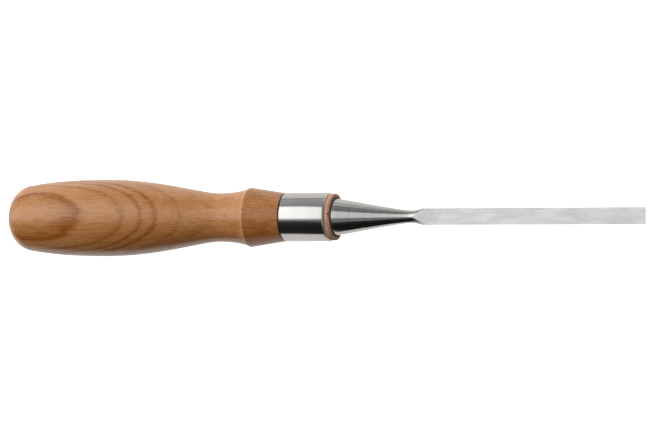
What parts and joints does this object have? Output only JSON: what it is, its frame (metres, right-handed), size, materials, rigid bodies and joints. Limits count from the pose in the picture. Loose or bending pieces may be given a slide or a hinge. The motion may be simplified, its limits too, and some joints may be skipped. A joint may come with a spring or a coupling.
{
  "type": "bench chisel",
  "caption": "Narrow bench chisel: turned wooden handle with a waist and collar, steel ferrule, leather shock washer, conical bolster and slim bevel-edged blade.",
  "frame": {"origin": "on the tool's axis, in the middle of the ferrule's length", "axes": "+X along the tool's axis, towards the cutting edge; +Z is the outward normal of the blade's flat back; +Y across the blade's width. The tool lies along X, and Z = 0 is the height of its axis"},
  "size_m": [0.2538, 0.0292, 0.0293],
  "materials": {
    "ash_wood": "satin lacquer over cathedral grain",
    "polished_steel": "polished",
    "leather": "cut edge, matt",
    "blade_steel": "ground flat and satin on the blade, polished on the bolster"
  },
  "bodies": {
    "root": {"handle": "ash_wood", "ferrule": "polished_steel", "leather_washer": "leather", "blade": "blade_steel"}
  },
  "joints": []
}
